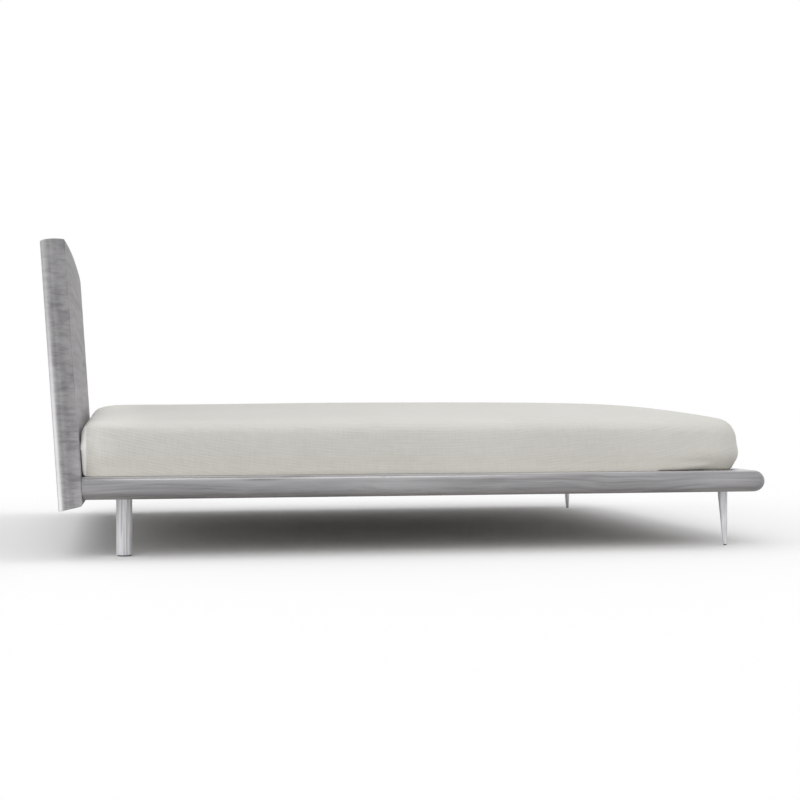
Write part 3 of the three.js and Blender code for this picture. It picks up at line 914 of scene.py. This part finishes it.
def crown_rise(x, y):
    """The crown climbs fast from the headboard and falls slowly to the foot."""
    from_head = max(0, x - head_x)
    along = 2 * from_head / mattress_length - 1
    if along > 0:
        share = (1 - min(1, along) ** 3.5) ** 0.25
    else:
        fast, slow = 1 - math.exp(-from_head / head_rise), soft_share((from_head - 0.2) / 0.8)
        share = 0.88 * fast + 0.12 * slow
    return crown_height * share * (1 - min(1, abs(2 * y / mattress_width)) ** 1.7)


def stop_x(y, z):
    """Where the cover stops, just before the headboard."""
    return board_front_x(y, z) + 2 * seat_gap


def cover_outline(inset, z):
    """One level outline, anticlockwise, kept off the headboard."""
    side = mattress_width / 2 - inset
    low, high = head_x + inset - head_swell, head_x + mattress_length + foot_swell - inset
    at_foot = max(foot_corner - inset, foot_corner / 4)
    at_head = max(head_corner - inset, head_corner / 4)
    corner_steps, edge_steps = 14, 60
    centres = [
        (high - at_foot, at_foot - side, -90, at_foot), (high - at_foot, side - at_foot, 0, at_foot),
        (low + at_head, side - at_head, 90, at_head), (low + at_head, at_head - side, 180, at_head),
    ]
    loop = []
    for k, (cx, cy, start, radius) in enumerate(centres):
        for step in range(corner_steps + 1):
            turn = math.radians(start + 90 * step / corner_steps)
            loop.append(Vector((cx + radius * math.cos(turn), cy + radius * math.sin(turn))))
        nx, ny, turn, radius = centres[(k + 1) % 4]
        turn = math.radians(turn)
        goal = Vector((nx + radius * math.cos(turn), ny + radius * math.sin(turn)))
        last = loop[-1]
        loop += [last.lerp(goal, s / edge_steps) for s in range(1, edge_steps)]
    return [Vector((max(p.x, stop_x(p.y, z)), p.y, z)) for p in loop]


def cover_profile(top, tuck, rise):
    """(inset, height) of each level, from the base up to the rim of the top."""
    levels = []
    for k in range(base_levels):
        height = rise * (k / (base_levels - 1)) ** 1.6
        levels.append((tuck * (1 - height / rise) ** 2, height))
    for k in range(1, side_levels):
        height = between(rise, edge_height - top, k / side_levels)
        levels.append((side_lean * k / side_levels, height))
    for k in range(rim_levels):
        turn = math.pi / 2 * k / (rim_levels - 1)
        inset = side_lean + top * (1 - math.cos(turn))
        levels.append((inset, edge_height - top * (1 - math.sin(turn))))
    return levels


def mattress_loops():
    profiles = {end: cover_profile(**shape) for end, shape in end_shapes.items()}
    loops = []
    for level in range(len(profiles["side"])):
        rows = {}
        for end, profile in profiles.items():
            inset, height = profile[level]
            rows[end] = cover_outline(inset, mattress_base + height)
        head_blend = low_head_blend if level < base_levels else high_head_blend
        loop = []
        for head, side, foot in zip(rows["head"], rows["side"], rows["foot"]):
            along = side.x - head_x
            point = head.lerp(side, soft_share(along / head_blend))
            loop.append(point.lerp(foot, soft_share((along - foot_blend_start) / foot_blend)))
        loops.append(loop)
    for k in range(rim_levels):
        rise = math.sin(math.pi / 2 * k / (rim_levels - 1)) ** 2
        for point in loops[k - rim_levels]:
            point.z += rise * crown_rise(point.x, point.y)
    edge_top = mattress_base + edge_height
    rim = loops[-1]
    innermost = cover_outline((mattress_width - foot_corner) / 2, edge_top)
    for k in range(1, top_levels + 1):
        share = (k / top_levels) ** 1.3
        loop = [a.lerp(b, share) for a, b in zip(rim, innermost)]
        loops.append([(p.x, p.y, edge_top + crown_rise(p.x, p.y)) for p in loop])
    return loops


mattress = skin("mattress_cover", mattress_loops(), 180)
print("mattress drawn:", len(mattress.data.polygons), "faces")

# %% Cloth
def points_of(piece):
    flat = np.empty(len(piece.data.vertices) * 3)
    piece.data.vertices.foreach_get("co", flat)
    return flat.reshape(-1, 3)


def set_points(piece, points):
    piece.data.vertices.foreach_set("co", np.asarray(points, float).ravel())
    piece.data.update()


def apply_modifiers(piece):
    graph = bpy.context.evaluated_depsgraph_get()
    mesh = bpy.data.meshes.new_from_object(piece.evaluated_get(graph))
    piece.modifiers.clear()
    piece.data = mesh


def remesh(piece, voxel):
    step = piece.modifiers.new("even_faces", "REMESH")
    step.mode = "VOXEL"
    step.voxel_size = voxel
    apply_modifiers(piece)


def fill_with_air(piece, most, shrink, frames=20):
    """Pulls the drawn cover, shrunk a little, tight. No point ends further off than most."""
    drawn = points_of(piece)
    normals = np.array([v.normal for v in piece.data.vertices])
    set_points(piece, drawn - normals * shrink)
    cloth = piece.modifiers.new("cover", "CLOTH")
    cloth.settings.use_pressure = True
    cloth.settings.uniform_pressure_force = 4
    cloth.settings.effector_weights.gravity = 0
    cloth.point_cache.frame_start = 1
    cloth.point_cache.frame_end = frames
    scene = bpy.context.scene
    for now in range(1, frames + 1):
        scene.frame_set(now)
    apply_modifiers(piece)
    scene.frame_set(1)
    moved = points_of(piece) - drawn
    far = np.linalg.norm(moved, axis=1, keepdims=True)
    moved *= np.minimum(1, most / np.maximum(far, 1e-9))
    set_points(piece, drawn + moved)
    print("cover points moved: median", round(float(np.median(far)) * 1000, 1), "mm, most", most * 1000)


remesh(mattress, voxel=0.012)
fill_with_air(mattress, most=0.003, shrink=0.004)

# %% [markdown]
# The air has no idea of the deck or the headboard, so the cover is set back down on the
# slats and pressed against the board. Its base edge and its corners at the board are pushed
# out square to the side panels, and these edges stay crisp when the faces are made finer. A
# shallow crease runs round the foot end where the side panel is sewn.

# %% Seat the cover and sew the crease
base_roll, press_reach = 0.02, 0.014
corner_reach, corner_pull = 0.12, 0.002
corner_top, square_top = 0.325, 0.37
base_edge_reach, base_edge_fade = 0.02, 0.01
square_reach, square_fade = 0.03, 0.013
foot_start = head_x + 1.9
crease_height, crease_width, crease_depth = 0.311, 0.006, 0.002


def seat_cover(piece):
    points = points_of(piece)
    x, y, z = points.T  # these look into points, so each step sees what the last one moved
    low = np.clip((z - mattress_base) / base_roll, 0, 1)
    points[:, 2] = np.where(low < 1, mattress_base + base_roll * low ** 3 * (3 - 2 * low), z)
    side = mattress_width / 2 - 0.0005
    straight = np.clip((foot_start - x) / 0.05, 0, 1) * (x > head_x + 0.03)
    edge = np.clip((np.abs(y) - side + base_edge_reach) / base_edge_fade, 0, 1)
    points[:, 1] += edge * (low < 1) * straight * (np.sign(y) * side - y)
    square = np.clip((np.abs(y) - side + square_reach) / square_fade, 0, 1)
    square *= (x < head_x + 0.05) * np.clip((square_top - z) / 0.05, 0, 1)
    points[:, 1] += square * (np.sign(y) * side - y)
    near = np.clip(1 - (x - head_x) / corner_reach, 0, 1)
    near *= np.clip(1 - (mattress_width / 2 - np.abs(y)) / corner_reach, 0, 1)
    pull = corner_pull * near * np.clip((z - corner_top) / 0.06, 0, 1) ** 1.5
    to_foot = np.clip((x - foot_start) / 0.1, 0, 1) ** 2
    fold = np.exp(-(((z - crease_height) / crease_width) ** 2))
    middle = np.array([head_x + mattress_length / 2, 0.0])
    outward = points[:, :2] - middle
    outward /= np.maximum(np.linalg.norm(outward, axis=1, keepdims=True), 1e-6)
    points[:, :2] -= outward * (crease_depth * fold * to_foot)[:, None]
    front = np.array([stop_x(b, c) for b, c in zip(y, z)])
    apart = np.maximum(points[:, 0] - front, 0)
    pressed = np.where(apart < press_reach, apart ** 2 / press_reach, apart)
    points[:, 0] = front + pressed + pull
    points[:, 1] -= np.sign(y) * pull
    points[:, 2] = np.maximum(points[:, 2], mattress_base)
    set_points(piece, points)


def keep_crisp(piece):
    """Keeps the base edge and the edge at the headboard crisp when the faces get finer."""
    points = points_of(piece)
    x, y, z = points.T
    front = np.array([stop_x(b, c) for b, c in zip(y, z)])
    touching = (z < mattress_base + 0.002) | (x < front + 0.0015)
    crisp = touching & (np.abs(y) > mattress_width / 2 - 0.002)
    edges = np.array([edge.vertices[:] for edge in piece.data.edges])
    kept = crisp[edges].all(axis=1)
    crease = piece.data.attributes.new("crease_edge", "FLOAT", "EDGE")
    crease.data.foreach_set("value", kept.astype(float))
    piece.data.edges.foreach_set("use_edge_sharp", kept)
    print("edges kept crisp:", int(kept.sum()))


seat_cover(mattress)
mattress.data.shade_smooth()
keep_crisp(mattress)
smoother = mattress.modifiers.new("finer_faces", "SUBSURF")
smoother.levels = smoother.render_levels = 1
print("mattress:", len(mattress.data.polygons), "faces")

# %% [markdown]
# The cover is an off-white plain weave. Threads run level round the sides and square
# across the top, so the pattern picks its two directions by which way the cloth faces. The
# side panel's threads bow a little, lowest at the middle of the bed. Slubs, the thicker
# stretches of a thread, give the rows their uneven look. The end panel at the headboard is
# painted palest, a painted highlight on that rim, the cloth beside it is painted a little
# lighter, painted light where the headboard shades it, and near the rail it is a little yellower.

# %% Woven cover
thread_pitch = 0.0054
rib_pitch = 0.0088
thread_bow = 0.14
slub_changes, pick_changes = (14, 240), (270, 22)
head_rim_highlight_reach = (0.008, 0.015)
lowest_heights = (0.24, 0.34)


def weave_of(finish, across, upward, place_in_cloth):
    """(threads, tone) of cloth whose threads run along two directions. Each face of the
    cover has its own place_in_cloth, so that no two show the same slubs."""
    turns = 2 * math.pi / thread_pitch
    threads = finish.sine(across * turns) * finish.sine(upward * turns) * 0.5 + 0.5
    ribs = finish.sine(upward * (2 * math.pi / rib_pitch)) * 0.5 + 0.5
    slubs, picks = (
        finish.noise(finish.vector(across * often, upward * rows, place_in_cloth + shift), 1.0, 2, 0.6)
        for (often, rows), shift in ((slub_changes, 0), (pick_changes, 7))
    )
    return threads, slubs * 0.34 + picks * 0.26 + threads * 0.24 + ribs * 0.06


def woven_cover():
    finish = Finish("woven_cover")
    place = finish.place()
    facing = finish.place("Normal")
    x, y, z = (finish.part(place, axis) for axis in "XYZ")
    from_middle = x - (head_x + mattress_length / 2)
    risen = z - from_middle * from_middle * thread_bow
    level = finish.reach(finish.size(finish.part(facing, "Z")), 0.5, 0.85)
    ended = finish.reach(finish.size(finish.part(facing, "X")), 0.5, 0.85)
    of_side, of_end, of_top = (
        weave_of(finish, a, b, k) for k, (a, b) in enumerate([(x, risen), (y, z), (x, y)])
    )
    threads, tone = (
        (side * (1 - ended) + end * ended) * (1 - level) + top * level
        for side, end, top in zip(of_side, of_end, of_top)
    )
    tone = (tone - 0.45) * (1 - level * 0.5) + 0.45 + finish.noise(place, 3.0, 3) * 0.2
    colour = finish.ramp(tone, [
        (0.36, (0.55, 0.542, 0.50)), (0.55, (0.65, 0.642, 0.602)), (0.74, (0.71, 0.70, 0.665)),
    ])
    colour = finish.shaded(colour, finish.mixed(level, (0.94, 0.94, 0.94, 1), (0.965, 0.965, 0.965, 1)))
    lowest = 1 - finish.reach(z, *lowest_heights)
    colour = finish.tinted(colour, lowest, (0.975, 0.965, 0.93, 1))
    # Painted light: the cloth near the headboard is painted lighter, where the headboard shades it.
    head_painted_light = 1 - finish.reach(x, head_x + 0.03, head_x + 0.2)
    colour = finish.tinted(colour, head_painted_light, (1.04, 1.04, 1.04, 1))
    # Painted highlight: the rim of the cover at the headboard is painted pale.
    head_rim_painted_highlight = 1 - finish.reach(x, *(head_x + reach for reach in head_rim_highlight_reach))
    colour = finish.mixed(head_rim_painted_highlight * 0.9, colour, (0.93, 0.92, 0.90, 1))
    return finish.surface({
        "Base Color": colour,
        "Roughness": threads * 0.08 + 0.84,
        "Normal": finish.bump(threads * 0.6 + tone * 0.6, 0.0007, 0.6),
        "Sheen Weight": 0.2,
        "Sheen Roughness": 0.45,
    })


dress(mattress, woven_cover(), "mattress", "mattress_cloth", "mattress")
